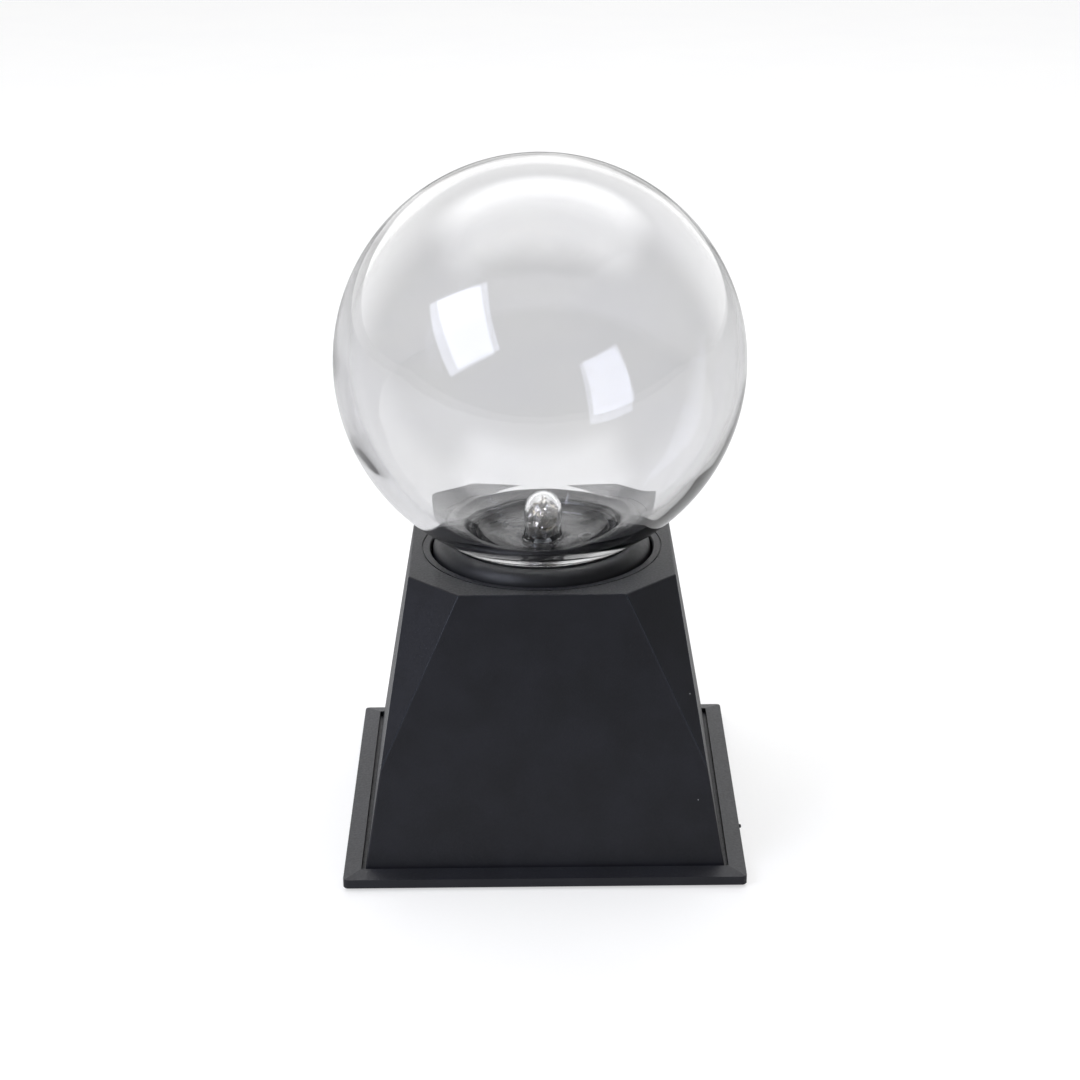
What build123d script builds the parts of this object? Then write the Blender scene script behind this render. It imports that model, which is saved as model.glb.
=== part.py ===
from build123d import *
import os
from math import atan, cos, degrees

# Plasma ball: a sealed glass globe on a faceted pedestal with a square foot.
# Millimetres. +Z is up, the front is -Y, and the origin is on the table under the middle.

os.makedirs("parts", exist_ok=True)

# ---- driving dimensions: foot ----
plate_side = 125.0
plate_corner = 1.6
plate_bottom = 0.8  # the rubber feet hold the plate this far off the table
plate_floor = 3.2  # top of the plate's floor, which the pedestal stands on
rim_outer_top = 3.85
rim_inner_top = 4.85
rim_inner_side = 114.2
locating_rib = 3.0
foot_r = 6.0
foot_pitch = 102.0
foot_recess = 1.0

# ---- driving dimensions: pedestal ----
base_top = 90.0
foot_half = 56.0  # half the pedestal's width where it stands on the plate
top_half = 41.45  # half its width at the top, before the corners are cut
corner_cut = 15.86  # how much of each top edge a corner facet takes
apex_z = 35.5  # height of the point where each corner facet ends
wall = 2.3
top_wall = 2.5
edge_round = 0.6
lean = atan((foot_half - top_half) / (base_top - plate_floor))
post_pitch = 86.0
post_bottom = 5.2
post_top = 24.0
post_r = 4.0

# ---- driving dimensions: globe and its seat ----
globe_r = 64.2
globe_z = 151.43
globe_bore_r = 61.2
globe_bore_rise = 0.8  # blown glass is thicker at the neck end than at the crown
cup_floor = 88.6  # the neck is closed by a floor, and a shallow cup leads down to it
cup_floor_r = 17.0
cup_lip_r = 26.2
cup_lip_z = 97.3
neck_r = 25.0
neck_bottom = 87.0
seat_hole_r = 35.4
seat_r = 34.6
seat_shoulder = 4.4
seat_bore_r = 27.2
seat_skin = 2.0
seat_bottom = 78.0
seat_lip_z = 92.3  # top of the collar round the neck
seat_crest_z = 93.9  # top of the rounded shoulder
gutter_z = 90.6  # where the hollow under the shoulder ends at the collar
ear_bottom = 82.0
ear_top = 84.4
ear_reach = 40.0
ring_line_r = 38.0

# ---- driving dimensions: electrode ----
finger_r = 6.5
finger_bore_r = 5.3
finger_dome_z = 100.0
flare_z = 87.0
flare_r = 1.5
exhaust_x = 15.0
exhaust_bore_r = 1.6
foil_bottom = 85.5
contact_bottom = 81.5

# ---- driving dimensions: rear panel, switch and inlet ----
panel_y = 51.0  # outer face of the sunk panel
panel_thick = 2.2
panel_inner = panel_y - panel_thick
panel_z = 19.0
panel_width = 54.0
panel_height = 20.0
switch_x = -13.0
switch_travel = 2.0  # each way from the middle, off, position
switch_pitch = 19.0
stem_side = 3.2  # the square stem that comes out through the slot
slot_height = 3.8
slot_width = stem_side + 2 * switch_travel + 0.8
mic_x = 2.0
mic_r = 3.0
inlet_x = 15.0
inlet_r = 4.0
inlet_pin_r = 1.0
inlet_bore_r = 3.0

# ---- driving dimensions: electronics ----
board_width = 72.0
board_depth = 60.0
board_bottom = 9.2
board_thick = 1.6
board_top = board_bottom + board_thick
board_hole_x = 64.0
board_hole_y = 52.0
core_x = -12.0
core_width = 36.0
core_height = 38.0
core_leg = 9.0
core_bottom = board_top + 2.0
coil_offset = (core_width - core_leg) / 2
sink_x = 24.0
sink_y = -10.0

BOTTOM = (Align.CENTER, Align.CENTER, Align.MIN)
TOP = (Align.CENTER, Align.CENTER, Align.MAX)
RADIAL = (Align.MIN, Align.CENTER)


def facet_plane(turn, inset):
    """Plane of one corner facet, through its apex and the two top corners, moved in by inset."""
    half_apex = foot_half - (foot_half - top_half) * (apex_z - plate_floor) / (base_top - plate_floor)
    apex = Vector(half_apex, half_apex, apex_z)
    right = Vector(top_half, top_half - corner_cut, base_top)
    left = Vector(top_half - corner_cut, top_half, base_top)
    outward = (left - apex).cross(right - apex)
    face = Plane(origin=apex, z_dir=outward).offset(-inset)
    return Plane(
        origin=face.origin.rotate(Axis.Z, 90 * turn),
        z_dir=face.z_dir.rotate(Axis.Z, 90 * turn),
    )


def faceted_block(inset, top):
    """The pedestal's leaning four-sided block with its corner facets, moved in by inset."""
    with BuildPart() as block:
        with BuildSketch(Plane.XY.offset(plate_floor)):
            side = 2 * (foot_half - inset / cos(lean))
            Rectangle(side, side)
        extrude(amount=top - plate_floor, taper=degrees(lean))
        for turn in range(4):
            split(bisect_by=facet_plane(turn, inset), keep=Keep.BOTTOM)
    return block.part


# ---- foot ----

with BuildPart() as base_plate:
    with BuildSketch(Plane.XY.offset(plate_bottom)):
        RectangleRounded(plate_side, plate_side, plate_corner)
    extrude(amount=rim_inner_top - plate_bottom)
    # the top of the rim falls away outwards, with a mitre at each corner
    rim_fall = rim_inner_top - rim_outer_top
    rim_width = (plate_side - rim_inner_side) / 2
    for turn in range(4):
        edge = Vector(plate_side / 2, 0, rim_outer_top).rotate(Axis.Z, 90 * turn)
        slope = Vector(rim_fall, 0, rim_width).rotate(Axis.Z, 90 * turn)
        split(bisect_by=Plane(origin=edge, z_dir=slope), keep=Keep.BOTTOM)
    chamfer(base_plate.faces().sort_by(Axis.Z)[0].outer_wire().edges(), 0.3)
    with BuildSketch(Plane.XY.offset(plate_floor)):
        RectangleRounded(rim_inner_side, rim_inner_side, 0.6)
    extrude(amount=rim_inner_top, mode=Mode.SUBTRACT)
    # a rib inside the pedestal's walls locates it
    with BuildSketch(Plane.XY.offset(plate_floor)):
        Rectangle(105.6, 105.6)
        Rectangle(102.4, 102.4, mode=Mode.SUBTRACT)
    extrude(amount=locating_rib)
    with BuildSketch(Plane.XY.offset(plate_floor)):
        with GridLocations(post_pitch, post_pitch, 2, 2):
            Circle(5.0)
    extrude(amount=post_bottom - plate_floor)
    with BuildSketch(Plane.XY.offset(plate_floor)):
        with GridLocations(board_hole_x, board_hole_y, 2, 2):
            Circle(3.2)
    extrude(amount=board_bottom - plate_floor)
    with BuildSketch(Plane.XY.offset(board_bottom)):
        with GridLocations(board_hole_x, board_hole_y, 2, 2):
            Circle(1.2)
    extrude(amount=-5.0, mode=Mode.SUBTRACT)
    with Locations(Location((0, 0, plate_bottom), (180, 0, 0))):
        with GridLocations(post_pitch, post_pitch, 2, 2):
            CounterBoreHole(radius=1.7, counter_bore_radius=3.2, counter_bore_depth=2.2)
        with GridLocations(foot_pitch, foot_pitch, 2, 2):
            Hole(radius=foot_r + 0.2, depth=foot_recess)
    with BuildSketch(Plane.XY.offset(plate_bottom)):
        with GridLocations(0, 7.0, 1, 5):
            SlotOverall(34.0, 2.6)
    extrude(amount=plate_floor, mode=Mode.SUBTRACT)
base_plate.part.label = "base_plate"
export_step(base_plate.part, "parts/base_plate.step")

with BuildPart() as rubber_feet:
    with GridLocations(foot_pitch, foot_pitch, 2, 2):
        Cylinder(foot_r, plate_bottom + foot_recess, align=BOTTOM)
    fillet(rubber_feet.edges().group_by(Axis.Z)[0], 0.5)
rubber_feet.part.label = "rubber_feet"
export_step(rubber_feet.part, "parts/rubber_feet.step")

# ---- pedestal ----

# posts for the foot's screws, ribs that tie them to the walls, and the sunk panel's backing
with BuildPart() as housing_inners:
    post_height = post_top - post_bottom
    rib_bottom = plate_floor + locating_rib + 0.3
    rib_height = post_top - rib_bottom
    with Locations((0, 0, post_bottom)):
        with GridLocations(post_pitch, post_pitch, 2, 2):
            Cylinder(post_r, post_height, align=BOTTOM)
    for turn in range(4):
        corner = Vector(post_pitch / 2, post_pitch / 2, rib_bottom).rotate(Axis.Z, 90 * turn)
        with Locations(Location(corner, (0, 0, 90 * turn))):
            Box(foot_half, 1.8, rib_height, align=(Align.MIN, Align.CENTER, Align.MIN))
            Box(1.8, foot_half, rib_height, align=(Align.CENTER, Align.MIN, Align.MIN))
    with Locations((0, 0, ear_top)):
        with PolarLocations(ear_reach, 4, start_angle=45):
            Cylinder(3.3, base_top - ear_top - 1.0, align=BOTTOM)
    with Locations((0, panel_inner, panel_z)):
        Box(
            panel_width + 4.0,
            foot_half - panel_inner,
            panel_height + 4.0,
            align=(Align.CENTER, Align.MIN, Align.CENTER),
        )
    add(faceted_block(wall / 2, base_top - top_wall / 2), mode=Mode.INTERSECT)

with BuildPart() as pedestal_housing:
    add(faceted_block(0, base_top))
    fillet(pedestal_housing.edges().filter_by(lambda e: e.center().Z > plate_floor + 1), edge_round)
    add(faceted_block(wall, base_top - top_wall), mode=Mode.SUBTRACT)
    add(housing_inners.part)
    with BuildSketch(Plane.XY.offset(post_bottom)):
        with GridLocations(post_pitch, post_pitch, 2, 2):
            Circle(1.5)
    extrude(amount=12.0, mode=Mode.SUBTRACT)
    with BuildSketch(Plane.XY.offset(ear_top)):
        with PolarLocations(ear_reach, 4, start_angle=45):
            Circle(1.35)
    extrude(amount=3.6, mode=Mode.SUBTRACT)
    # the round opening for the seat, and the fine moulded line round it
    with BuildSketch(Plane.XY.offset(base_top)):
        Circle(seat_hole_r)
    extrude(amount=-2 * top_wall, mode=Mode.SUBTRACT)
    with BuildSketch(Plane.XY.offset(base_top)):
        Circle(ring_line_r + 0.2)
        Circle(ring_line_r - 0.2, mode=Mode.SUBTRACT)
    extrude(amount=-0.4, mode=Mode.SUBTRACT)
    chamfer(
        pedestal_housing.edges()
        .filter_by(GeomType.CIRCLE)
        .filter_by(lambda e: abs(e.radius - seat_hole_r) < 0.01 and e.center().Z > base_top - 0.1),
        0.4,
    )
    # the sunk panel at the rear, with its slot and holes
    with BuildSketch(Plane.XZ.offset(-panel_y)):
        with Locations((0, panel_z)):
            RectangleRounded(panel_width, panel_height, 1.5)
    extrude(amount=-foot_half, mode=Mode.SUBTRACT)
    with BuildSketch(Plane.XZ.offset(-panel_y)):
        with Locations((switch_x, panel_z)):
            Rectangle(slot_width, slot_height)
            with GridLocations(switch_pitch, 0, 2, 1):
                Circle(1.1)
        with Locations((mic_x, panel_z)):
            Circle(0.6)
        with Locations((inlet_x, panel_z)):
            Circle(inlet_r + 0.1)
    extrude(amount=2 * panel_thick, mode=Mode.SUBTRACT)
pedestal_housing.part.label = "pedestal_housing"
export_step(pedestal_housing.part, "parts/pedestal_housing.step")

with BuildPart() as base_screws:
    with Locations((0, 0, plate_bottom + 0.2)):
        with GridLocations(post_pitch, post_pitch, 2, 2):
            Cylinder(2.8, 2.0, align=BOTTOM)
    with Locations((0, 0, plate_bottom + 2.2)):
        with GridLocations(post_pitch, post_pitch, 2, 2):
            Cylinder(1.45, 12.0, align=BOTTOM)
    with Locations((0, 0, plate_bottom + 0.2)):
        with GridLocations(post_pitch, post_pitch, 2, 2):
            Box(3.4, 0.7, 1.0, align=BOTTOM, mode=Mode.SUBTRACT)
            Box(0.7, 3.4, 1.0, align=BOTTOM, mode=Mode.SUBTRACT)
base_screws.part.label = "base_screws"
export_step(base_screws.part, "parts/base_screws.step")

# ---- seat of the globe ----

# an upturned gutter: rounded shoulder outside, plain collar round the neck inside, eared flange below
with BuildPart() as globe_seat:
    shoulder_z = seat_crest_z - seat_shoulder
    inner_shoulder = seat_shoulder - seat_skin
    with BuildSketch(Plane.XZ):
        with BuildLine():
            lip = (seat_bore_r, seat_lip_z)
            crest = (seat_r - seat_shoulder, seat_crest_z)
            Line((seat_bore_r, seat_bottom), lip)
            Line(lip, crest)
            RadiusArc(crest, (seat_r, shoulder_z), seat_shoulder)
            Line((seat_r, shoulder_z), (seat_r, ear_bottom))
            Line((seat_r, ear_bottom), (seat_r - seat_skin, ear_bottom))
            Line((seat_r - seat_skin, ear_bottom), (seat_r - seat_skin, shoulder_z))
            RadiusArc(
                (seat_r - seat_skin, shoulder_z),
                (seat_r - seat_shoulder, shoulder_z + inner_shoulder),
                -inner_shoulder,
            )
            Line((seat_r - seat_shoulder, shoulder_z + inner_shoulder), (seat_bore_r + seat_skin, gutter_z))
            Line((seat_bore_r + seat_skin, gutter_z), (seat_bore_r + seat_skin, seat_bottom))
            Line((seat_bore_r + seat_skin, seat_bottom), (seat_bore_r, seat_bottom))
        make_face()
    revolve(axis=Axis.Z)
    with BuildSketch(Plane.XY.offset(ear_bottom)):
        Circle(seat_r + 3.4)
        with PolarLocations(ear_reach, 4, start_angle=45):
            Circle(3.6)
        with PolarLocations(ear_reach - 4.0, 4, start_angle=45):
            Rectangle(8.0, 7.2)
        Circle(seat_r - 1.0, mode=Mode.SUBTRACT)
        with PolarLocations(ear_reach, 4, start_angle=45):
            Circle(1.5, mode=Mode.SUBTRACT)
    extrude(amount=ear_top - ear_bottom)
    # webs across the gutter
    with BuildSketch(Plane.XY.offset(ear_bottom)):
        with PolarLocations(seat_bore_r + seat_skin - 0.5, 8):
            Rectangle(seat_r - seat_bore_r - 2 * seat_skin + 1.0, 1.4, align=RADIAL)
    extrude(amount=6.0)
globe_seat.part.label = "globe_seat"
export_step(globe_seat.part, "parts/globe_seat.step")

with BuildPart() as seat_screws:
    with Locations((0, 0, ear_bottom)):
        with PolarLocations(ear_reach, 4, start_angle=45):
            Cylinder(2.5, 1.8, align=TOP)
            Cylinder(1.3, 5.6, align=BOTTOM)
    with Locations((0, 0, ear_bottom - 1.8)):
        with PolarLocations(ear_reach, 4, start_angle=45):
            Box(3.0, 0.6, 0.9, align=BOTTOM, mode=Mode.SUBTRACT)
            Box(0.6, 3.0, 0.9, align=BOTTOM, mode=Mode.SUBTRACT)
seat_screws.part.label = "seat_screws"
export_step(seat_screws.part, "parts/seat_screws.step")

# a thin soft ring between the seat's sloping lip and the glass
with BuildPart() as cushion_ring:
    with BuildSketch(Plane.XZ):
        Polygon((27.4, 92.5), (29.8, 93.75), (29.8, 94.45), (27.4, 93.25), align=None)
    revolve(axis=Axis.Z)
cushion_ring.part.label = "cushion_ring"
export_step(cushion_ring.part, "parts/cushion_ring.step")

# sealing compound that bonds the glass neck into the seat's collar
with BuildPart() as neck_sealant:
    with BuildSketch(Plane.XZ):
        with Locations((neck_r + 0.05, neck_bottom - 1.0)):
            Rectangle(seat_bore_r - neck_r - 0.1, 4.0, align=(Align.MIN, Align.MIN))
    revolve(axis=Axis.Z)
    fillet(neck_sealant.edges().group_by(Axis.Z)[0], 0.9)
neck_sealant.part.label = "neck_sealant"
export_step(neck_sealant.part, "parts/neck_sealant.step")

# ---- glass ----

# a sphere with a short neck, closed by a floor with a hole for the finger
with BuildPart() as glass_globe:
    with BuildSketch(Plane.XZ) as globe_section:
        with Locations((0, globe_z)):
            Circle(globe_r)
        with Locations((0, neck_bottom)):
            Rectangle(2 * neck_r, 20.0, align=(Align.CENTER, Align.MIN))
        with Locations((0, globe_z + globe_bore_rise)):
            Circle(globe_bore_r, mode=Mode.SUBTRACT)
        Polygon(
            (0, cup_floor), (cup_floor_r, cup_floor), (cup_lip_r, cup_lip_z), (0, cup_lip_z),
            align=None,
            mode=Mode.SUBTRACT,
        )
        with Locations((0, neck_bottom)):
            Rectangle(2 * finger_r, 20.0, align=(Align.CENTER, Align.MIN), mode=Mode.SUBTRACT)
        with Locations((0, globe_z)):
            Rectangle(globe_r, 4 * globe_r, align=(Align.MAX, Align.CENTER), mode=Mode.SUBTRACT)
        neck_corner = globe_section.vertices().sort_by_distance((neck_r, globe_z - 59.1))[0]
        floor_corner = globe_section.vertices().sort_by_distance((cup_floor_r, cup_floor))[0]
        fillet(neck_corner, 2.5)
        fillet(floor_corner, 7.0)
    revolve(axis=Axis.Z)
    with Locations((exhaust_x, 0, neck_bottom)):
        Cylinder(exhaust_bore_r, 2 * (cup_floor - neck_bottom) + 1.0, mode=Mode.SUBTRACT)
glass_globe.part.label = "glass_globe"
export_step(glass_globe.part, "parts/glass_globe.step")

# a closed glass finger, fused into the floor's hole, with a bell mouth below it
with BuildPart() as electrode_tube:
    bore_flare = flare_r + finger_r - finger_bore_r
    mouth_r = finger_r + flare_r
    with BuildSketch(Plane.XZ):
        with BuildLine():
            RadiusArc((0, finger_dome_z + finger_r), (finger_r, finger_dome_z), finger_r)
            Line((finger_r, finger_dome_z), (finger_r, flare_z))
            RadiusArc((finger_r, flare_z), (mouth_r, flare_z - flare_r), -flare_r)
            Line((mouth_r, flare_z - flare_r), (mouth_r, flare_z - bore_flare))
            RadiusArc((mouth_r, flare_z - bore_flare), (finger_bore_r, flare_z), bore_flare)
            Line((finger_bore_r, flare_z), (finger_bore_r, finger_dome_z))
            RadiusArc((finger_bore_r, finger_dome_z), (0, finger_dome_z + finger_bore_r), -finger_bore_r)
            Line((0, finger_dome_z + finger_bore_r), (0, finger_dome_z + finger_r))
        make_face()
    revolve(axis=Axis.Z)
electrode_tube.part.label = "electrode_tube"
export_step(electrode_tube.part, "parts/electrode_tube.step")

# the stub through which the globe was pumped and filled, melted shut to a point
with BuildPart() as exhaust_tip:
    with BuildSketch(Plane.XZ) as tip_section:
        Polygon(
            (exhaust_bore_r, 0), (3.0, 0), (3.0, -5.0), (0.9, -9.4), (0, -10.0), (0, -8.0), (exhaust_bore_r, -5.5),
            align=None,
        )
        fillet(tip_section.vertices().sort_by_distance((3.0, -5.0))[0], 4.0)
    revolve(axis=Axis.Z)
exhaust_tip.part.label = "exhaust_tip"
exhaust_tip.part.position = (exhaust_x, 0, neck_bottom)
export_step(exhaust_tip.part, "parts/exhaust_tip.step")

# ---- electrode inside the glass finger ----

# crumpled metal stuffed in the finger, as one rounded slug
with BuildPart() as electrode_foil:
    foil_r = finger_bore_r - 0.4
    Cylinder(foil_r, finger_dome_z - foil_bottom, align=BOTTOM)
    with Locations((0, 0, finger_dome_z - foil_bottom)):
        Sphere(foil_r)
electrode_foil.part.label = "electrode_foil"
electrode_foil.part.position = (0, 0, foil_bottom)
export_step(electrode_foil.part, "parts/electrode_foil.step")

with BuildPart() as electrode_contact:
    with Locations((0, 0, contact_bottom)):
        Cylinder(3.6, foil_bottom - contact_bottom, align=BOTTOM)
        Cylinder(1.45, 2.4, align=BOTTOM, mode=Mode.SUBTRACT)
    chamfer(electrode_contact.edges().group_by(Axis.Z)[-1], 0.5)
electrode_contact.part.label = "electrode_contact"
export_step(electrode_contact.part, "parts/electrode_contact.step")

# ---- circuit board and what stands on it ----

with BuildPart() as circuit_board:
    with BuildSketch(Plane.XY.offset(board_bottom)):
        RectangleRounded(board_width, board_depth, 1.0)
        with GridLocations(board_hole_x, board_hole_y, 2, 2):
            Circle(1.3, mode=Mode.SUBTRACT)
    extrude(amount=board_thick)
circuit_board.part.label = "circuit_board"
export_step(circuit_board.part, "parts/circuit_board.step")

with BuildPart() as board_screws:
    with Locations((0, 0, board_top)):
        with GridLocations(board_hole_x, board_hole_y, 2, 2):
            Cylinder(2.3, 1.7, align=BOTTOM)
            Cylinder(1.15, 6.0, align=TOP)
    with Locations((0, 0, board_top + 1.7)):
        with GridLocations(board_hole_x, board_hole_y, 2, 2):
            Box(2.8, 0.6, 0.8, align=TOP, mode=Mode.SUBTRACT)
            Box(0.6, 2.8, 0.8, align=TOP, mode=Mode.SUBTRACT)
board_screws.part.label = "board_screws"
export_step(board_screws.part, "parts/board_screws.step")

with BuildPart() as transformer_cradle:
    with Locations((core_x, 0, board_top)):
        Box(core_width + 4.0, 14.0, 2.0, align=BOTTOM)
    fillet(transformer_cradle.edges().filter_by(Axis.Z), 1.5)
transformer_cradle.part.label = "transformer_cradle"
export_step(transformer_cradle.part, "parts/transformer_cradle.step")

with BuildPart() as transformer_core:
    with Locations((core_x, 0, core_bottom)):
        Box(core_width, core_leg, core_height, align=BOTTOM)
    with Locations((core_x, 0, core_bottom + core_leg)):
        Box(
            core_width - 2 * core_leg,
            core_leg,
            core_height - 2 * core_leg,
            align=BOTTOM,
            mode=Mode.SUBTRACT,
        )
    fillet(transformer_core.edges().filter_by(Axis.Y), 0.5)
transformer_core.part.label = "transformer_core"
export_step(transformer_core.part, "parts/transformer_core.step")

coil_bottom = core_bottom + core_leg + 0.2
coil_height = core_height - 2 * core_leg - 0.4
with BuildPart() as high_tension_coil:
    with Locations((core_x + coil_offset, 0, coil_bottom)):
        Cylinder(10.5, coil_height, align=BOTTOM)
        Box(core_leg + 0.4, core_leg + 0.4, coil_height, align=BOTTOM, mode=Mode.SUBTRACT)
    chamfer(high_tension_coil.edges().filter_by(GeomType.CIRCLE), 0.8)
high_tension_coil.part.label = "high_tension_coil"
export_step(high_tension_coil.part, "parts/high_tension_coil.step")

with BuildPart() as high_tension_lead:
    coil_x = core_x + coil_offset
    lead_start = (coil_x, -7.6, coil_bottom + coil_height)
    with BuildLine():
        FilletPolyline(
            lead_start,
            (coil_x, -7.6, 54.0),
            (0, 0, 66.0),
            (0, 0, contact_bottom + 2.4),
            radius=9.0,
        )
    with BuildSketch(Plane(origin=lead_start, z_dir=(0, 0, 1))):
        Circle(1.4)
    sweep()
high_tension_lead.part.label = "high_tension_lead"
export_step(high_tension_lead.part, "parts/high_tension_lead.step")

with BuildPart() as primary_coil:
    with Locations((core_x - coil_offset, 0, coil_bottom + 2.0)):
        Cylinder(7.8, coil_height - 4.0, align=BOTTOM)
        Box(core_leg + 0.4, core_leg + 0.4, coil_height, align=BOTTOM, mode=Mode.SUBTRACT)
    fillet(primary_coil.edges().filter_by(GeomType.CIRCLE), 0.7)
primary_coil.part.label = "primary_coil"
export_step(primary_coil.part, "parts/primary_coil.step")

with BuildPart() as heat_sink:
    with Locations((sink_x, sink_y, board_top)):
        Box(2.0, 24.0, 26.0, align=(Align.MIN, Align.CENTER, Align.MIN))
    with Locations((sink_x + 2.0, sink_y, board_top)):
        with GridLocations(0, 6.4, 1, 4):
            Box(8.0, 1.2, 26.0, align=(Align.MIN, Align.CENTER, Align.MIN))
    with Locations(Location((sink_x, sink_y, board_top + 20.0), (0, 90, 0))):
        Cylinder(1.6, 8.0, mode=Mode.SUBTRACT)
heat_sink.part.label = "heat_sink"
export_step(heat_sink.part, "parts/heat_sink.step")

with BuildPart() as power_transistor:
    with Locations((sink_x - 1.3, sink_y, board_top + 7.5)):
        Box(1.3, 10.2, 15.6, align=(Align.MIN, Align.CENTER, Align.MIN))
        Box(4.5, 10.2, 9.2, align=(Align.CENTER, Align.CENTER, Align.MIN))
    with Locations((sink_x - 2.6, sink_y, board_top)):
        with GridLocations(0, 2.54, 1, 3):
            Box(0.6, 0.9, 8.0, align=BOTTOM)
    # keep the moulded body on the board's side of the tab
    with Locations((sink_x, sink_y, board_top)):
        Box(6.0, 12.0, 30.0, align=(Align.MIN, Align.CENTER, Align.MIN), mode=Mode.SUBTRACT)
    with Locations(Location((sink_x, sink_y, board_top + 20.0), (0, 90, 0))):
        Cylinder(1.6, 8.0, mode=Mode.SUBTRACT)
power_transistor.part.label = "power_transistor"
export_step(power_transistor.part, "parts/power_transistor.step")

with BuildPart() as transistor_screw:
    with Locations(Location((sink_x - 1.3, sink_y, board_top + 20.0), (0, 90, 0))):
        Cylinder(1.5, 6.5, align=BOTTOM)
        Cylinder(2.6, 1.8, align=TOP)
        with Locations((0, 0, -1.8)):
            Box(0.7, 3.6, 0.9, align=BOTTOM, mode=Mode.SUBTRACT)
transistor_screw.part.label = "transistor_screw"
export_step(transistor_screw.part, "parts/transistor_screw.step")

with BuildPart() as electrolytic_capacitors:
    for x, y, radius, height in ((17.0, 14.0, 5.0, 16.0), (28.5, 12.0, 4.0, 11.5)):
        with Locations((x, y, board_top)):
            Cylinder(radius, height, align=BOTTOM)
            with Locations((0, 0, 1.6)):
                Torus(radius + 0.25, 0.5, mode=Mode.SUBTRACT)
    fillet(electrolytic_capacitors.faces().filter_by(Axis.Z).filter_by(
        lambda f: f.normal_at().Z > 0.5).edges(), 0.5)
electrolytic_capacitors.part.label = "electrolytic_capacitors"
export_step(electrolytic_capacitors.part, "parts/electrolytic_capacitors.step")

with BuildPart() as film_capacitor:
    with Locations((-24.0, 18.0, board_top)):
        Box(13.0, 6.0, 11.0, align=BOTTOM)
    fillet(film_capacitor.edges().filter_by(lambda e: e.center().Z > board_top + 1), 0.8)
film_capacitor.part.label = "film_capacitor"
export_step(film_capacitor.part, "parts/film_capacitor.step")

with BuildPart() as control_chips:
    for x in (-8.0, -24.0):
        with Locations((x, -20.0, board_top)):
            with Locations((0, 0, 0.6)):
                Box(9.6, 6.4, 3.2, align=BOTTOM)
            with GridLocations(2.54, 7.62, 4, 2):
                Box(0.6, 1.3, 2.6, align=BOTTOM)
            with Locations((-4.8, 0, 3.8)):
                Cylinder(0.8, 0.8, align=TOP, mode=Mode.SUBTRACT)
control_chips.part.label = "control_chips"
export_step(control_chips.part, "parts/control_chips.step")

with BuildPart() as resistors:
    with Locations((9.0, -21.0, board_top + 2.0)):
        with GridLocations(3.6, 0, 4, 1):
            with Locations(Rotation(90, 0, 0)):
                Cylinder(1.15, 6.4)
                Cylinder(0.35, 9.4)
            with GridLocations(0, 9.0, 1, 2):
                Cylinder(0.35, 2.0, align=TOP)
resistors.part.label = "resistors"
export_step(resistors.part, "parts/resistors.step")

with BuildPart() as wire_headers:
    for x, width in ((switch_x, 10.0), (mic_x, 5.5), (inlet_x, 7.5)):
        with Locations((x, 25.5, board_top)):
            Box(width, 5.0, 6.0, align=BOTTOM)
    chamfer(wire_headers.edges().group_by(Axis.Z)[-1], 0.4)
wire_headers.part.label = "wire_headers"
export_step(wire_headers.part, "parts/wire_headers.step")

# ---- slide switch: off in the middle, on at one end, sound at the other ----

frame_depth = 5.5
frame_back = panel_inner - frame_depth
with BuildPart() as switch_frame:
    with BuildSketch(Plane.XZ.offset(-panel_inner)):
        with Locations((switch_x, panel_z)):
            RectangleRounded(23.0, 7.4, 1.0)
            with GridLocations(switch_pitch, 0, 2, 1):
                Circle(1.1, mode=Mode.SUBTRACT)
            Rectangle(slot_width, slot_height, mode=Mode.SUBTRACT)
    extrude(amount=0.5)
    with BuildSketch(Plane.XZ.offset(-panel_inner + 0.5)):
        with Locations((switch_x, panel_z)):
            Rectangle(14.2, 7.4)
            Rectangle(13.2, 6.4, mode=Mode.SUBTRACT)
    extrude(amount=frame_depth - 0.5)
switch_frame.part.label = "switch_frame"
export_step(switch_frame.part, "parts/switch_frame.step")

with BuildPart() as switch_base:
    with BuildSketch(Plane.XZ.offset(-frame_back)):
        with Locations((switch_x, panel_z)):
            Rectangle(14.2, 7.4)
            with GridLocations(3.0, 0, 4, 1):
                Rectangle(1.5, 0.6, mode=Mode.SUBTRACT)
    extrude(amount=1.0)
switch_base.part.label = "switch_base"
export_step(switch_base.part, "parts/switch_base.step")

with BuildPart() as switch_terminals:
    with Locations((switch_x, frame_back + 0.3, panel_z)):
        with GridLocations(3.0, 0, 4, 1):
            Box(1.4, 5.0, 0.5, align=(Align.CENTER, Align.MAX, Align.CENTER))
            Box(2.2, 0.3, 2.4, align=(Align.CENTER, Align.MAX, Align.CENTER))
switch_terminals.part.label = "switch_terminals"
export_step(switch_terminals.part, "parts/switch_terminals.step")

# the carriage slides in the frame, and its stem comes out through the slots
carriage_front = panel_inner - 0.5 - 0.12
with BuildPart() as switch_slider:
    with Locations((switch_x, carriage_front, panel_z)):
        Box(7.6, 2.6, 6.0, align=(Align.CENTER, Align.MAX, Align.CENTER))
        Box(stem_side, 5.9, stem_side, align=(Align.CENTER, Align.MIN, Align.CENTER))
    stem_tip = switch_slider.faces().sort_by(Axis.Y)[-1]
    fillet(stem_tip.edges(), 0.5)
    # finger ridges across the tip
    with Locations((switch_x, carriage_front + 5.9, panel_z)):
        with GridLocations(0.9, 0, 3, 1):
            Box(0.35, 0.3, 3.4, align=(Align.CENTER, Align.MAX, Align.CENTER), mode=Mode.SUBTRACT)
switch_slider.part.label = "switch_slider"
export_step(switch_slider.part, "parts/switch_slider.step")

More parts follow.
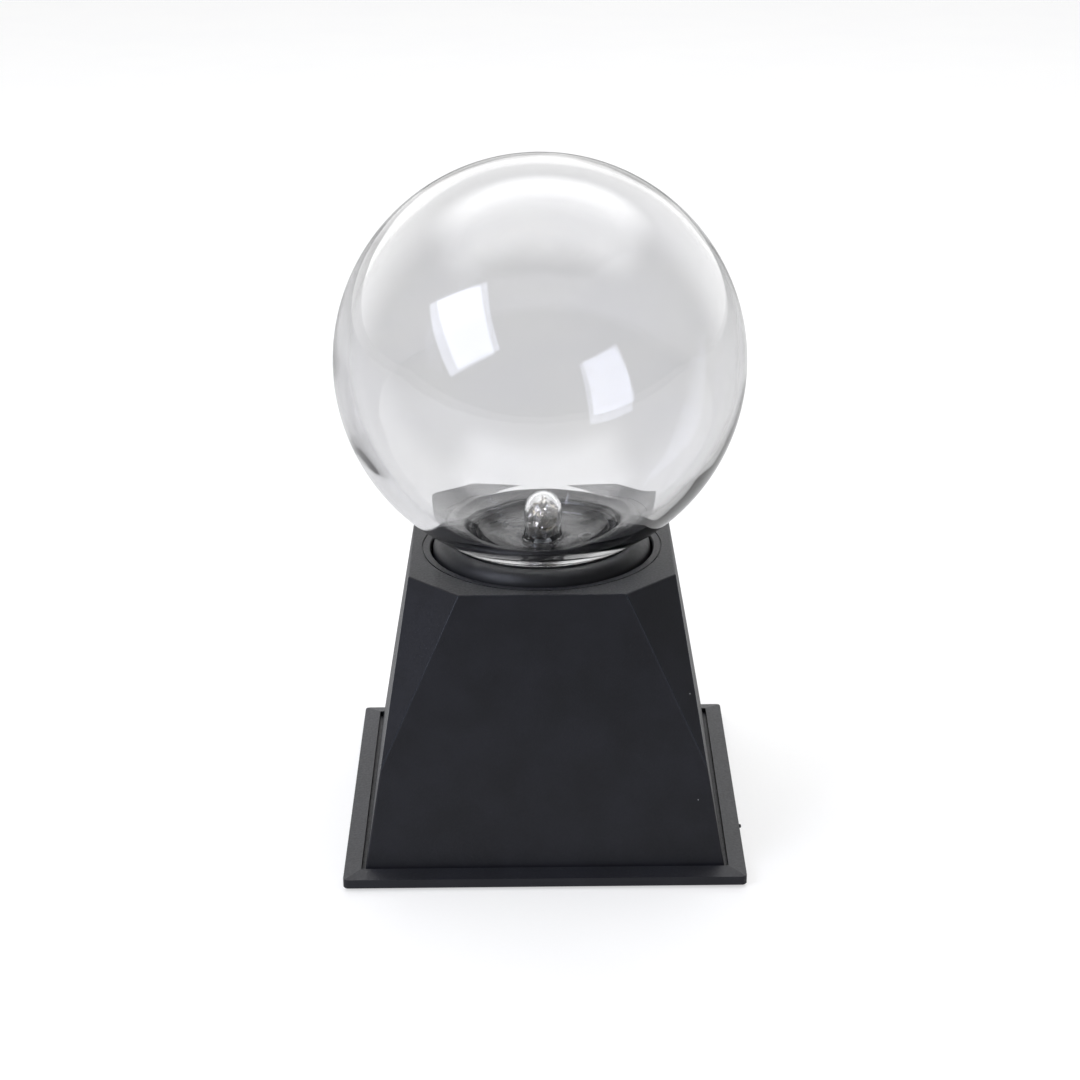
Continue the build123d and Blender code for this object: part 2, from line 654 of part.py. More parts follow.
with BuildPart() as bridge_contact:
    with Locations((switch_x, carriage_front - 2.6, panel_z)):
        Box(5.6, 0.3, 4.0, align=(Align.CENTER, Align.MAX, Align.CENTER))
        with GridLocations(4.0, 0, 2, 1):
            Box(1.0, 1.3, 1.2, align=(Align.CENTER, Align.MAX, Align.CENTER))
bridge_contact.part.label = "bridge_contact"
export_step(bridge_contact.part, "parts/bridge_contact.step")

with BuildPart() as switch_screws:
    with Locations(Location((switch_x, panel_y, panel_z), (-90, 0, 0))):
        with GridLocations(switch_pitch, 0, 2, 1):
            Cylinder(1.9, 1.2, align=BOTTOM)
            Cylinder(1.05, 4.0, align=TOP)
    with Locations((switch_x, panel_y + 1.2, panel_z)):
        with GridLocations(switch_pitch, 0, 2, 1):
            Box(2.4, 0.6, 0.5, align=(Align.CENTER, Align.MAX, Align.CENTER), mode=Mode.SUBTRACT)
            Box(0.5, 0.6, 2.4, align=(Align.CENTER, Align.MAX, Align.CENTER), mode=Mode.SUBTRACT)
switch_screws.part.label = "switch_screws"
export_step(switch_screws.part, "parts/switch_screws.step")

# ---- microphone that makes the discharge follow sound ----

with BuildPart() as microphone:
    with Locations(Location((mic_x, panel_inner, panel_z), (90, 0, 0))):
        Cylinder(mic_r, 4.6, align=BOTTOM)
        with Locations((0, 0, 4.6)):
            with GridLocations(2.6, 0, 2, 1):
                Cylinder(0.3, 1.5, align=BOTTOM)
    fillet(microphone.edges().filter_by(GeomType.CIRCLE).sort_by(Axis.Y)[-1], 0.4)
microphone.part.label = "microphone"
export_step(microphone.part, "parts/microphone.step")

# ---- power inlet: barrel, centre pin, spring, nut ----

inlet_floor = panel_y - 7.0
inlet_mouth = panel_y + 3.0
pin_end = inlet_floor - 6.5
spring_x = inlet_bore_r - 0.2
with BuildPart() as inlet_body:
    with BuildSketch(Plane.XZ.offset(-inlet_mouth)):
        with Locations((inlet_x, panel_z)):
            Circle(inlet_r)
    extrude(amount=inlet_mouth - panel_inner)
    with BuildSketch(Plane.XZ.offset(-panel_inner)):
        with Locations((inlet_x, panel_z)):
            Circle(5.3)
    extrude(amount=8.5)
    with BuildSketch(Plane.XZ.offset(-inlet_mouth)):
        with Locations((inlet_x, panel_z)):
            Circle(inlet_bore_r)
    extrude(amount=inlet_mouth - inlet_floor, mode=Mode.SUBTRACT)
    with BuildSketch(Plane.XZ.offset(-inlet_floor)):
        with Locations((inlet_x, panel_z)):
            Circle(1.45)
    extrude(amount=8.0, mode=Mode.SUBTRACT)
    # channel for the spring contact, along the side of the bore and out at the back
    with Locations((inlet_x + spring_x - 0.2, inlet_floor + 4.0, panel_z)):
        Box(0.7, 16.0, 2.2, align=(Align.MIN, Align.MAX, Align.CENTER), mode=Mode.SUBTRACT)
    mouth_edges = inlet_body.faces().sort_by(Axis.Y)[-1].edges()
    chamfer(mouth_edges, 0.3)
inlet_body.part.label = "inlet_body"
export_step(inlet_body.part, "parts/inlet_body.step")

with BuildPart() as inlet_pin:
    with BuildSketch(Plane.XZ.offset(-inlet_floor)):
        with Locations((inlet_x, panel_z)):
            Circle(1.4)
    extrude(amount=6.5)
    with BuildSketch(Plane.XZ.offset(-inlet_floor)):
        with Locations((inlet_x, panel_z)):
            Circle(inlet_pin_r)
    extrude(amount=-8.6)
    fillet(inlet_pin.faces().sort_by(Axis.Y)[-1].edges(), 0.6)
inlet_pin.part.label = "inlet_pin"
export_step(inlet_pin.part, "parts/inlet_pin.step")

with BuildPart() as inlet_spring:
    with Locations((inlet_x + spring_x, pin_end, panel_z)):
        Box(0.3, 10.0, 1.8, align=(Align.MIN, Align.MIN, Align.CENTER))
inlet_spring.part.label = "inlet_spring"
export_step(inlet_spring.part, "parts/inlet_spring.step")

with BuildPart() as inlet_nut:
    with BuildSketch(Plane.XZ.offset(-panel_y)):
        with Locations((inlet_x, panel_z)):
            RegularPolygon(5.5, 6, major_radius=False)
            Circle(inlet_r + 0.05, mode=Mode.SUBTRACT)
    extrude(amount=-2.0)
    outer_edges = inlet_nut.faces().sort_by(Axis.Y)[-1].outer_wire().edges()
    chamfer(outer_edges, 0.35)
inlet_nut.part.label = "inlet_nut"
export_step(inlet_nut.part, "parts/inlet_nut.step")

# ---- leads from the panel's fittings down to the board's headers ----

header_y = 25.5
header_top = board_top + 6.0


def panel_lead(x_header, x_end, y_end, z_end):
    """One insulated lead: up out of its header, over in a loop and back to its terminal."""
    start = (x_header, header_y, header_top)
    with BuildPart() as lead:
        with BuildLine():
            FilletPolyline(
                start,
                (x_header, header_y, header_top + 8.0),
                (x_end, y_end - 6.5, header_top + 6.0),
                (x_end, y_end - 3.5, z_end),
                (x_end, y_end, z_end),
                radius=1.6,
            )
        with BuildSketch(Plane(origin=start, z_dir=(0, 0, 1))):
            Circle(0.6)
        sweep()
    return lead.part


terminal_end = frame_back - 4.7

with BuildPart() as supply_lead_red:
    add(panel_lead(inlet_x - 1.5, inlet_x, pin_end, panel_z))
supply_lead_red.part.label = "supply_lead_red"
export_step(supply_lead_red.part, "parts/supply_lead_red.step")

with BuildPart() as supply_lead_black:
    add(panel_lead(inlet_x + 1.5, inlet_x + spring_x + 0.15, pin_end, panel_z))
supply_lead_black.part.label = "supply_lead_black"
export_step(supply_lead_black.part, "parts/supply_lead_black.step")

with BuildPart() as switch_leads:
    for step in (-1, 0, 1):
        add(panel_lead(switch_x + 2.6 * step, switch_x + 3.0 * step - 1.5, terminal_end, panel_z))
switch_leads.part.label = "switch_leads"
export_step(switch_leads.part, "parts/switch_leads.step")

with BuildPart() as microphone_leads:
    for side in (-1, 1):
        add(panel_lead(mic_x + 1.3 * side, mic_x + 1.3 * side, panel_inner - 6.1, panel_z))
microphone_leads.part.label = "microphone_leads"
export_step(microphone_leads.part, "parts/microphone_leads.step")
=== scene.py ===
import math
import random

import bmesh
import bpy
from mathutils import Matrix, Vector, noise


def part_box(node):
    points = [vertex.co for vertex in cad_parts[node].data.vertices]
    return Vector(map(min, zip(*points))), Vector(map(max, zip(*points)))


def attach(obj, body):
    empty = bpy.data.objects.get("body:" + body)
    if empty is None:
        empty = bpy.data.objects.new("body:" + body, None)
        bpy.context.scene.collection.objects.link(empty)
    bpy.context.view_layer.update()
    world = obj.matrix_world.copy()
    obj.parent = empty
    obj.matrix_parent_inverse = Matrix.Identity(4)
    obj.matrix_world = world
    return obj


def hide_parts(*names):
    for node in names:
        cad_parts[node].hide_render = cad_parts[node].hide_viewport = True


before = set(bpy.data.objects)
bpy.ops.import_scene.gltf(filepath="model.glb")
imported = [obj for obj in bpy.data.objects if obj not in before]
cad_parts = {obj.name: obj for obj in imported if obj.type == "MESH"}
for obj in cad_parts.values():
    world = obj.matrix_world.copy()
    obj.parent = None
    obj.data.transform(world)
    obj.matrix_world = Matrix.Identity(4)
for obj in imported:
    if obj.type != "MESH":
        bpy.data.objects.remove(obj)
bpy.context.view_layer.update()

# Plasma ball: a blown glass globe with a glass electrode finger, on a faceted black pedestal.
# Metres, in the frame of the solids: +Z up, the front is -Y, origin on the table.

MM = 0.001
LAMP = "lamp"


def placed(name, form):
    """A new object from a mesh under construction, which it frees."""
    mesh = bpy.data.meshes.new(name)
    form.to_mesh(mesh)
    form.free()
    made = bpy.data.objects.new(name, mesh)
    bpy.context.scene.collection.objects.link(made)
    return made


# ---- camera, table and studio light ----

camera = bpy.data.objects.new("camera", bpy.data.cameras.new("camera"))
bpy.context.scene.collection.objects.link(camera)
bpy.context.scene.camera = camera
# it stands in front of the object, looks down on it, and is nearly square to it
camera_place = (-0.00107, -0.77432, 0.39830)
camera_pitch, camera_yaw, camera_roll = (math.radians(a) for a in (21.6092, 0.041, -0.5429))
sight = Vector(
    (
        math.sin(camera_yaw) * math.cos(camera_pitch),
        math.cos(camera_yaw) * math.cos(camera_pitch),
        -math.sin(camera_pitch),
    )
)
level_right = Vector((math.cos(camera_yaw), -math.sin(camera_yaw), 0))
level_up = level_right.cross(sight)
image_right = math.cos(camera_roll) * level_right + math.sin(camera_roll) * level_up
image_up = -math.sin(camera_roll) * level_right + math.cos(camera_roll) * level_up
camera_axes = Matrix((image_right, image_up, -sight)).transposed().to_4x4()
camera.matrix_world = Matrix.Translation(camera_place) @ camera_axes
camera.data.sensor_width = 36.0
camera.data.lens = 87.08
camera.data.clip_start = 0.01
camera.data.clip_end = 100.0

bpy.context.scene.view_settings.view_transform = "Standard"
bpy.context.scene.view_settings.look = "None"


def linear(code):
    """Linear colour, with full alpha, from an sRGB hex value."""
    channels = [int(code[i : i + 2], 16) / 255 for i in (1, 3, 5)]
    return [c / 12.92 if c <= 0.04045 else ((c + 0.055) / 1.055) ** 2.4 for c in channels] + [1.0]


def add(tree, kind, sockets=None, **options):
    """Adds one node: options are its own settings, sockets its input values or what feeds them."""
    made = tree.nodes.new(kind)
    for option, value in options.items():
        setattr(made, option, value)
    for socket, value in (sockets or {}).items():
        if isinstance(value, bpy.types.NodeSocket):
            tree.links.new(value, made.inputs[socket])
        else:
            made.inputs[socket].default_value = value
    return made


def softbox(name, centre, across, upward, width, height, watts, colour, fade):
    """A rectangular light with sides along across and upward; fade is the share of each half that dims."""
    light = bpy.data.lights.new(name, "AREA")
    light.shape = "RECTANGLE"
    light.size = width
    light.size_y = height
    light.energy = watts
    light.color = linear(colour)[:3]
    light.use_nodes = True
    tree = light.node_tree
    face = add(tree, "ShaderNodeNewGeometry").outputs["Parametric"]
    centred = add(
        tree,
        "ShaderNodeVectorMath",
        {0: face, 1: (2, 2, 0), 2: (-1, -1, 0)},
        operation="MULTIPLY_ADD",
    )
    outness = add(tree, "ShaderNodeVectorMath", {0: centred.outputs[0]}, operation="ABSOLUTE")
    sides = add(tree, "ShaderNodeSeparateXYZ", {"Vector": outness.outputs[0]})
    falls = [
        add(
            tree,
            "ShaderNodeMapRange",
            {"Value": sides.outputs[axis], "From Min": 1 - fade, "From Max": 1, "To Min": 1, "To Max": 0},
            interpolation_type="SMOOTHSTEP",
        ).outputs["Result"]
        for axis in ("X", "Y")
    ]
    level = add(tree, "ShaderNodeMath", {0: falls[0], 1: falls[1]}, operation="MULTIPLY").outputs[0]
    tree.links.new(level, tree.nodes["Emission"].inputs["Strength"])
    holder = bpy.data.objects.new(name, light)
    across = Vector(across).normalized()
    upward = Vector(upward).normalized()
    facing = across.cross(upward).normalized()
    upward = facing.cross(across)
    axes = Matrix((across, upward, facing)).transposed().to_4x4()
    holder.matrix_world = Matrix.Translation(centre) @ axes
    holder.visible_camera = False
    bpy.context.scene.collection.objects.link(holder)


# the key light, at the front on the left, turned about its own axis on its stand
softbox(
    "key_softbox",
    centre=(-0.80, -0.70, 0.71),
    across=(0.72, -0.41, 0.56),
    upward=(-0.08, 0.70, 0.71),
    width=0.65,
    height=0.87,
    watts=9.0,
    colour="#e9edff",
    fade=0.1,
)
# a wide soft light over the table
softbox(
    "overhead_softbox",
    centre=(0, 0.33, 1.10),
    across=(1, 0, 0),
    upward=(0, 1, 0),
    width=2.2,
    height=1.6,
    watts=27.0,
    colour="#ffffff",
    fade=0.6,
)

# the room: a bright sweep behind, dim behind the camera, and plain white where it is looked at
world = bpy.data.worlds.new("studio")
bpy.context.scene.world = world
world.use_nodes = True
room = world.node_tree
room.nodes.clear()
direction = add(room, "ShaderNodeTexCoord")
heading = add(room, "ShaderNodeSeparateXYZ", {"Vector": direction.outputs["Generated"]})
reflected_light = add(
    room,
    "ShaderNodeMapRange",
    {"Value": heading.outputs["Y"], "From Min": 0.15, "From Max": 0.7, "To Min": 0.10, "To Max": 1.3},
    interpolation_type="SMOOTHSTEP",
)
ray = add(room, "ShaderNodeLightPath")
reflected = add(room, "ShaderNodeMath", {0: ray.outputs["Glossy Depth"], 1: 0.5}, operation="GREATER_THAN")
scattered = add(room, "ShaderNodeMath", {0: ray.outputs["Diffuse Depth"], 1: 0.5}, operation="GREATER_THAN")
seen = add(room, "ShaderNodeMix", {0: reflected.outputs[0], 2: 1.0, 3: reflected_light.outputs["Result"]})
strength = add(room, "ShaderNodeMix", {0: scattered.outputs[0], 2: seen.outputs[0], 3: 0.6})
glow = add(room, "ShaderNodeBackground", {"Color": linear("#ffffff"), "Strength": strength.outputs[0]})
add(room, "ShaderNodeOutputWorld", {"Surface": glow.outputs[0]})


def table_top():
    """A white table whose front edge is over half a metre before the object."""
    half_width, front_edge, back_edge = 3.0, -0.58, 6.0
    form = bmesh.new()
    corners = (
        (-half_width, front_edge),
        (half_width, front_edge),
        (half_width, back_edge),
        (-half_width, back_edge),
    )
    form.faces.new([form.verts.new((x, y, 0)) for x, y in corners])
    made = placed("table", form)
    return made


table = table_top()

# ---- materials ----

MIX_FACTOR, MIX_A, MIX_B, MIX_RESULT = 0, 6, 7, 2  # sockets of a Mix node that mixes colours


def begin(name, roughness, metallic=0.0, ior=None):
    """A new material: its node tree, its surface shader and coordinates in metres on the object."""
    material = bpy.data.materials.new(name)
    material.use_nodes = True
    tree = material.node_tree
    tree.nodes.clear()
    place = add(tree, "ShaderNodeTexCoord").outputs["Object"]
    surface = add(tree, "ShaderNodeBsdfPrincipled", {"Roughness": roughness, "Metallic": metallic})
    if ior:
        surface.inputs["IOR"].default_value = ior
    add(tree, "ShaderNodeOutputMaterial", {"Surface": surface.outputs[0]})
    return material, tree, surface, place


def cloud(tree, place, size_mm, detail=2.0, stretch=(1, 1, 1)):
    """Soft noise whose patches are size_mm across, drawn out where stretch is under 1."""
    scale = [s / (size_mm * MM) for s in stretch]
    scaled = add(tree, "ShaderNodeMapping", {"Vector": place, "Scale": scale}).outputs[0]
    noisy = add(tree, "ShaderNodeTexNoise", {"Vector": scaled, "Scale": 1.0, "Detail": detail})
    return noisy.outputs["Fac"]


def spread(tree, value, low, high, start=0.35, end=0.65):
    """Stretches a noise's middle range to run from low to high."""
    return add(
        tree,
        "ShaderNodeMapRange",
        {"Value": value, "From Min": start, "From Max": end, "To Min": low, "To Max": high},
    ).outputs["Result"]


def two_tone(tree, factor, first, second):
    """The colour between two hex colours, or what feeds them, that factor picks."""
    mix = add(tree, "ShaderNodeMix", {MIX_FACTOR: factor}, data_type="RGBA")
    for socket, colour in ((MIX_A, first), (MIX_B, second)):
        if isinstance(colour, str):
            mix.inputs[socket].default_value = linear(colour)
        else:
            tree.links.new(colour, mix.inputs[socket])
    return mix.outputs[MIX_RESULT]


def relief(tree, surface, height, depth_mm):
    """Raises the surface by height times depth_mm, over any relief that it has already."""
    made = add(tree, "ShaderNodeBump", {"Height": height, "Strength": 1.0, "Distance": depth_mm * MM})
    under = surface.inputs["Normal"]
    if under.is_linked:
        tree.links.new(under.links[0].from_socket, made.inputs["Normal"])
    tree.links.new(made.outputs[0], under)


def finish(
    name,
    colours,
    patch_mm,
    roughness,
    grain_mm,
    grain_depth_mm,
    metallic=0.0,
    ior=None,
    stretch=(1, 1, 1),
):
    """Two close colours in patches, roughness between two values, and a fine grain in relief."""
    material, tree, surface, place = begin(name, sum(roughness) / 2, metallic, ior)
    patches = spread(tree, cloud(tree, place, patch_mm), 0, 1)
    tree.links.new(two_tone(tree, patches, *colours), surface.inputs["Base Color"])
    grain = cloud(tree, place, grain_mm, 3.0, stretch)
    tree.links.new(spread(tree, grain, *roughness), surface.inputs["Roughness"])
    relief(tree, surface, grain, grain_depth_mm)
    return material, tree, surface, place


def table_sheet():
    """Milky acrylic, lit from below: bright and even, with faint shadows and hardly any gloss."""
    material, tree, surface, _ = finish(
        "milky_acrylic", ("#a6a6a6", "#a4a4a5"), 60, (0.55, 0.65), 1.2, 0.01
    )
    # its glow is weaker where it is mirrored in the object or seen through the glass
    ray_kind = add(tree, "ShaderNodeLightPath")
    lit = add(tree, "ShaderNodeMix", {0: ray_kind.outputs["Is Glossy Ray"], 2: 0.54, 3: 0.2})
    surface.inputs["Emission Color"].default_value = linear("#ffffff")
    tree.links.new(lit.outputs[0], surface.inputs["Emission Strength"])
    return material


table.data.materials.append(table_sheet())


def crease_highlight_lines(tree, surface, place):
    """Paints a thin paler line along the creases round the pedestal's corner facets as a painted highlight,
    and lowers the roughness there, where handling has polished them.
    """
    # the pedestal's half width at its foot and its top, and what each corner facet takes off the top
    foot_half, top_half, corner_cut = 56.0, 41.45, 15.86
    floor_z, apex_z, top_z = 3.2, 35.5, 90.0
    # how deep below a crease, in millimetres, the painted highlight and the polish start, and where they
    # are full
    line_start, line_full = 0.34, 0.1
    run = Vector((0, top_z - floor_z, foot_half - top_half)).normalized()
    half_apex = foot_half - (foot_half - top_half) * (apex_z - floor_z) / (top_z - floor_z)
    apex = Vector((half_apex, half_apex, apex_z))
    right = Vector((top_half, top_half - corner_cut, top_z))
    left = Vector((top_half - corner_cut, top_half, top_z))
    facet = (left - apex).cross(right - apex).normalized()
    # heights along the normals of the nearest side and facet, in metres, folded into one corner
    folded = add(tree, "ShaderNodeVectorMath", {0: place}, operation="ABSOLUTE").outputs["Vector"]
    heights = [
        add(tree, "ShaderNodeVectorMath", {0: folded, 1: normal}, operation="DOT_PRODUCT").outputs["Value"]
        for normal in (run, Vector((run.y, 0, run.z)), facet)
    ]
    side = add(tree, "ShaderNodeMath", {0: heights[0], 1: heights[1]}, operation="MAXIMUM").outputs[0]
    total = add(tree, "ShaderNodeMath", {0: side, 1: heights[2]}, operation="ADD").outputs[0]
    brim = (run.dot(left) + facet.dot(left)) * MM
    highlight_line = add(
        tree,
        "ShaderNodeMapRange",
        {
            "Value": total,
            "From Min": brim - line_start * MM,
            "From Max": brim - line_full * MM,
            "To Min": 0,
            "To Max": 1,
        },
    ).outputs["Result"]
    # the paler base colour along the creases is a painted highlight; the lower roughness is the polish
    for socket, level in (("Base Color", "#2b2d32"), ("Roughness", "#404040")):
        skin = surface.inputs[socket].links[0].from_socket
        tree.links.new(two_tone(tree, highlight_line, skin, level), surface.inputs[socket])


def spark_eroded_abs(name, creases=False):
    """Black ABS from a spark-eroded mould: satin, with a fine even grain and a few motes of dust."""
    mote_spacing_mm = 11
    material, tree, surface, place = finish(
        name, ("#13141a", "#181920"), 14, (0.40, 0.52), 0.75, 0.03, ior=1.43
    )
    # on the pedestal: a painted highlight line along the creases, with lower roughness
    if creases:
        crease_highlight_lines(tree, surface, place)
    # dust: a mote wherever a cell's centre comes close to the skin
    scale = [1 / (mote_spacing_mm * MM)] * 3
    scaled = add(tree, "ShaderNodeMapping", {"Vector": place, "Scale": scale}).outputs[0]
    cells = add(tree, "ShaderNodeTexVoronoi", {"Vector": scaled, "Scale": 1.0, "Randomness": 1.0})
    mote = add(tree, "ShaderNodeMath", {0: cells.outputs["Distance"], 1: 0.02}, operation="LESS_THAN")
    skin = surface.inputs["Base Color"].links[0].from_socket
    tree.links.new(two_tone(tree, mote.outputs[0], skin, "#8f9094"), surface.inputs["Base Color"])
    return material


def polished_abs():
    """Black ABS from a smoother mould: a soft gloss that shows long highlights."""
    return finish("polished_abs", ("#1a1b1e", "#1f2023"), 9, (0.42, 0.5), 1.6, 0.006, ior=1.48)[0]


def soda_glass():
    """Blown soda-lime glass, a little denser than usual: clear, with faint waves and a trace of grey."""
    material, tree, surface, place = begin("blown_soda_glass", 0.0, ior=1.57)
    surface.inputs["Transmission Weight"].default_value = 1.0
    ream = cloud(tree, place, 16, 1.0)
    tint = two_tone(tree, spread(tree, cloud(tree, place, 40), 0, 1), "#fafafa", "#f8f8f9")
    tree.links.new(tint, surface.inputs["Base Color"])
    relief(tree, surface, ream, 0.03)
    return material


def crumpled_foil():
    """Bright aluminium foil, crushed by hand: mirror facets with finely creased, duller patches."""
    return finish(
        "crumpled_foil", ("#f2f2f1", "#d8d2c6"), 2.2, (0.05, 0.2), 0.6, 0.06, metallic=1.0
    )[0]


def enamelled_winding():
    """Enamelled copper wire wound in layers: orange-brown, with a ridge for each turn."""
    material, tree, surface, place = finish(
        "enamelled_copper", ("#a4532a", "#8c4322"), 2.0, (0.25, 0.35), 0.3, 0.004, metallic=1.0
    )
    wire_mm = 0.45
    turns = add(tree, "ShaderNodeMapping", {"Vector": place, "Scale": [1 / (wire_mm * MM)] * 3})
    # a wave texture of scale 0.314 has one band in each unit of length
    ridges = add(
        tree,
        "ShaderNodeTexWave",
        {"Vector": turns.outputs[0], "Scale": 0.314},
        wave_type="BANDS",
        bands_direction="Z",
    )
    relief(tree, surface, ridges.outputs["Fac"], 0.12)
    return material


def laminate_board():
    """Phenolic paper laminate: tan brown, with the paper's fibres showing through the resin."""
    return finish(
        "phenolic_laminate", ("#a97a43", "#94683a"), 3.0, (0.35, 0.5), 0.5, 0.008, stretch=(1, 0.15, 1)
    )[0]


def banded_lacquer():
    """Resistor lacquer: tan, with painted colour rings across the body."""
    ring_half_mm = 0.35
    material, tree, surface, place = finish(
        "resistor_lacquer", ("#c7a878", "#bd9c6b"), 1.5, (0.3, 0.4), 0.4, 0.006
    )
    along = add(tree, "ShaderNodeSeparateXYZ", {"Vector": place}).outputs["Y"]
    skin = surface.inputs["Base Color"].links[0].from_socket
    for ring_mm, colour in ((-23.0, "#6a3b1c"), (-21.6, "#141414"), (-20.2, "#b3261d"), (-19.0, "#b8912e")):
        near = add(
            tree,
            "ShaderNodeMath",
            {0: along, 1: ring_mm * MM, 2: ring_half_mm * MM},
            operation="COMPARE",
        )
        skin = two_tone(tree, near.outputs[0], skin, colour)
    tree.links.new(skin, surface.inputs["Base Color"])
    return material


BLACK_ABS = spark_eroded_abs("spark_eroded_abs")
# the pedestal's ABS has a painted highlight line along its corner creases
PEDESTAL_ABS = spark_eroded_abs("spark_eroded_abs_crease_highlights", creases=True)
SMOOTH_ABS = polished_abs()
GLASS = soda_glass()
FOIL = crumpled_foil()
# moulded natural rubber: matt, a little dusty
RUBBER = finish("moulded_rubber", ("#1a1a1b", "#222223"), 4, (0.75, 0.9), 0.4, 0.02)[0]
# cured silicone sealant: smooth, slightly greasy sheen
SEALANT = finish("silicone_sealant", ("#5f5f5d", "#686866"), 5, (0.35, 0.5), 1.5, 0.05, ior=1.41)[0]
# free-turning brass: yellow, with fine tool rings
BRASS = finish(
    "turned_brass", ("#d9b25c", "#c9a04c"), 2, (0.2, 0.34), 0.25, 0.006, metallic=1.0, stretch=(0.1, 0.1, 1)
)[0]
# zinc-plated steel: pale blue-grey, faintly mottled
ZINC = finish("zinc_plated_steel", ("#c3c7ca", "#aeb3b8"), 1.2, (0.24, 0.4), 0.3, 0.006, metallic=1.0)[0]
# nickel-plated steel: bright warm grey, close to a mirror
NICKEL = finish("nickel_plated_steel", ("#d2cfc8", "#c4c1ba"), 2, (0.14, 0.24), 0.3, 0.004, metallic=1.0)[0]
# black oxide on steel: dark grey with a low metal sheen
BLACK_OXIDE = finish(
    "black_oxide_steel", ("#2a2a2c", "#353538"), 1, (0.35, 0.5), 0.25, 0.006, metallic=1.0
)[0]
# sintered ferrite: dense, dark grey, matt and slightly pitted
FERRITE = finish("sintered_ferrite", ("#37373a", "#2e2e30"), 2, (0.6, 0.8), 0.4, 0.03)[0]
# cast epoxy: black, glossy, with a slight skin
POTTING = finish("cast_epoxy", ("#141415", "#1a1a1b"), 6, (0.1, 0.25), 4, 0.06)[0]
# moulded nylon: milky white, a little waxy
NYLON = finish("moulded_nylon", ("#ece9df", "#e2ded2"), 4, (0.45, 0.6), 0.7, 0.01, ior=1.53)[0]
# extruded aluminium: silver grey, drawn lines along the fins
ALUMINIUM = finish(
    "extruded_aluminium",
    ("#cfd1d2", "#bfc2c4"),
    3,
    (0.28, 0.42),
    0.25,
    0.008,
    metallic=1.0,
    stretch=(1, 1, 0.03),
)[0]
# moulded epoxy of chips and transistors: near black, finely matt
CHIP_EPOXY = finish("moulded_chip_epoxy", ("#1d1d1f", "#232325"), 1, (0.5, 0.65), 0.2, 0.01)[0]
# shrunk PVC sleeve: dark blue, glossy
SLEEVE = finish("shrunk_sleeve", ("#16213f", "#1b2849"), 2, (0.2, 0.3), 1.2, 0.02)[0]
# dipped lacquer: mustard yellow, thick and glossy
DIPPED = finish("dipped_lacquer", ("#d8a72e", "#cc9a26"), 2, (0.15, 0.3), 2.5, 0.06)[0]
COPPER = enamelled_winding()
LAMINATE = laminate_board()
LACQUER = banded_lacquer()
# extruded PVC insulation: even colour, soft gloss
RED_PVC = finish("red_pvc", ("#b3171a", "#a61316"), 3, (0.35, 0.45), 0.8, 0.01)[0]
BLACK_PVC = finish("black_pvc", ("#1b1b1c", "#202021"), 3, (0.35, 0.45), 0.8, 0.01)[0]
WHITE_PVC = finish("white_pvc", ("#e4e3dd", "#dcdbd4"), 3, (0.35, 0.45), 0.8, 0.01)[0]

NODE_FINISHES = {
    "base_plate": BLACK_ABS,
    "rubber_feet": RUBBER,
    "pedestal_housing": PEDESTAL_ABS,
    "base_screws": ZINC,
    "globe_seat": SMOOTH_ABS,
    "seat_screws": ZINC,
    "cushion_ring": RUBBER,
    "neck_sealant": SEALANT,
    "exhaust_tip": GLASS,
    "electrode_contact": ZINC,
    "high_tension_lead": BLACK_PVC,
    "circuit_board": LAMINATE,
    "board_screws": ZINC,
    "transformer_cradle": NYLON,
    "transformer_core": FERRITE,
    "high_tension_coil": POTTING,
    "primary_coil": COPPER,
    "heat_sink": ALUMINIUM,
    "power_transistor": CHIP_EPOXY,
    "transistor_screw": ZINC,
    "electrolytic_capacitors": SLEEVE,
    "film_capacitor": DIPPED,
    "control_chips": CHIP_EPOXY,
    "resistors": LACQUER,
    "wire_headers": NYLON,
    "switch_frame": ZINC,
    "switch_base": LAMINATE,
    "switch_terminals": BRASS,
    "switch_slider": SMOOTH_ABS,
    "bridge_contact": BRASS,
    "switch_screws": BLACK_OXIDE,
    "microphone": ALUMINIUM,
    "inlet_body": SMOOTH_ABS,
    "inlet_pin": NICKEL,
    "inlet_spring": BRASS,
    "inlet_nut": NICKEL,
    "supply_lead_red": RED_PVC,
    "supply_lead_black": BLACK_PVC,
    "switch_leads": WHITE_PVC,
    "microphone_leads": WHITE_PVC,
}
for node_name, material in NODE_FINISHES.items():
    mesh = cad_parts[node_name].data
    mesh.materials.clear()
    mesh.materials.append(material)

# ---- glass ----


def arc(centre_r, centre_z, radius, start, end, steps):
    """Points of a circular arc in the profile plane, in millimetres, from start to end degrees."""
    turns = [math.radians(start + (end - start) * i / steps) for i in range(steps + 1)]
    return [(centre_r + radius * math.cos(a), centre_z + radius * math.sin(a)) for a in turns]


def lathe(name, profile, around, shape=None):
    """Turns a profile of (radius, height) in millimetres about Z; shape moves each point of the skin."""
    form = bmesh.new()
    rings = []
    for index, (r, z) in enumerate(profile):
        count = 1 if r < 1e-6 else around
        ring = []
        for i in range(count):
            angle = 2 * math.pi * i / around
            point = Vector((r * math.cos(angle), r * math.sin(angle), z))
            if shape:
                point = shape(point, index)
            ring.append(form.verts.new(point * MM))
        rings.append(ring)
    for upper, lower in zip(rings, rings[1:]):
        for i in range(around):
            a, b = upper[i % len(upper)], upper[(i + 1) % len(upper)]
            c, d = lower[(i + 1) % len(lower)], lower[i % len(lower)]
            corners = [v for n, v in enumerate((a, b, c, d)) if v not in (a, b, c, d)[:n]]
            form.faces.new(corners)
    bmesh.ops.recalc_face_normals(form, faces=form.faces)
    for face in form.faces:
        face.smooth = True
    return placed(name, form)


def settle(piece, material, slot, *nodes):
    """Gives a piece its finish and its body, and hides the solids that it stands for; slot is not used."""
    piece.data.materials.append(material)
    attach(piece, LAMP)
    if nodes:
        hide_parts(*nodes)


